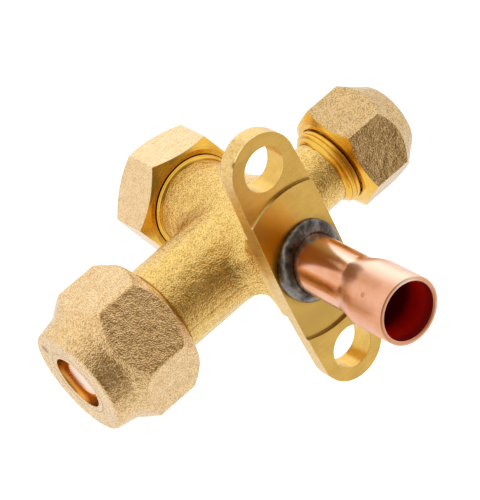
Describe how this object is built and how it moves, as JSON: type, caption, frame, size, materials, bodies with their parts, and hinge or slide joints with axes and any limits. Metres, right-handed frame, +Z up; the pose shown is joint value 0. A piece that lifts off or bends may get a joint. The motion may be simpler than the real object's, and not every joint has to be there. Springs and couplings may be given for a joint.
{
  "type": "refrigerant service valve",
  "caption": "Forged brass angle valve for refrigerant lines, with an oval mounting flange, a brazed copper tube, a flare nut on the line port, and capped stem and service ports.",
  "frame": {"origin": "on the connection tube's axis, in the machined face of the mounting flange", "axes": "+Y out of the connection tube, +X out of the flare port, +Z up through the upper lug"},
  "size_m": [0.0698, 0.0645, 0.0508],
  "materials": {
    "forged_brass": "sand-blasted forging with turned seats",
    "turned_brass": "bright turned",
    "copper": "drawn, slightly tarnished",
    "braze": "glossy oxidised braze",
    "rubber": "matt",
    "sealing_plastic": "matt fluoropolymer",
    "spring_steel": "bright wire and strip"
  },
  "bodies": {
    "valve": {"valve_body": "forged_brass", "copper_tube": "copper", "braze_ring": "braze", "stem_retaining_ring": "spring_steel", "core_plug": "turned_brass", "core_barrel": "turned_brass", "core_gasket": "sealing_plastic", "core_spring": "spring_steel"},
    "bonnet": {"flare_bonnet": "copper"},
    "nut": {"flare_nut": "forged_brass"},
    "stem_seals": {"stem_o_ring": "rubber", "stem_backup_ring": "sealing_plastic"},
    "stem": {"stem": "turned_brass"},
    "cap_seal": {"stem_cap_washer": "copper"},
    "stem_cap": {"stem_cap": "forged_brass"},
    "service_seal": {"service_cap_gasket": "rubber"},
    "service_cap": {"service_cap": "forged_brass"},
    "core_pin": {"core_pin": "turned_brass", "core_cup": "turned_brass", "core_seal": "rubber"}
  },
  "joints": [
    {"name": "flare_nut_advance", "type": "slide", "parent": "valve", "child": "bonnet", "axis": [1, 0, 0], "range_m": [0, 0.008]},
    {"name": "flare_nut_turn", "type": "hinge", "parent": "bonnet", "child": "nut", "pos_m": [0.03, -0.0147, 0], "axis": [1, 0, 0], "range_deg": [0, 2036.9]},
    {"name": "stem_advance", "type": "slide", "parent": "valve", "child": "stem_seals", "axis": [0, -1, 0], "range_m": [0, 0.0039]},
    {"name": "stem_turn", "type": "hinge", "parent": "stem_seals", "child": "stem", "pos_m": [0, -0.02, 0], "axis": [0, -1, 0], "range_deg": [0, 1401.2]},
    {"name": "stem_cap_advance", "type": "slide", "parent": "valve", "child": "cap_seal", "axis": [0, -1, 0], "range_m": [0, 0.0053]},
    {"name": "stem_cap_turn", "type": "hinge", "parent": "cap_seal", "child": "stem_cap", "pos_m": [0, -0.035, 0], "axis": [0, -1, 0], "range_deg": [0, 1904.2]},
    {"name": "service_cap_advance", "type": "slide", "parent": "valve", "child": "service_seal", "axis": [-1, 0, 0], "range_m": [0, 0.009]},
    {"name": "service_cap_turn", "type": "hinge", "parent": "service_seal", "child": "service_cap", "pos_m": [-0.025, -0.0147, 0], "axis": [-1, 0, 0], "range_deg": [0, 2546.1]},
    {"name": "core_pin_press", "type": "slide", "parent": "valve", "child": "core_pin", "axis": [1, 0, 0], "range_m": [0, 0.0012], "stiffness_N_per_m": 3000, "springref_m": -0.001, "deforming": ["core_spring"]}
  ],
  "couplings": [
    {"joint": "flare_nut_advance", "follows": "flare_nut_turn", "m_per_rad": 0.00022459},
    {"joint": "stem_advance", "follows": "stem_turn", "m_per_rad": 0.00015915},
    {"joint": "stem_cap_advance", "follows": "stem_cap_turn", "m_per_rad": 0.00015915},
    {"joint": "service_cap_advance", "follows": "service_cap_turn", "m_per_rad": 0.00020213}
  ]
}
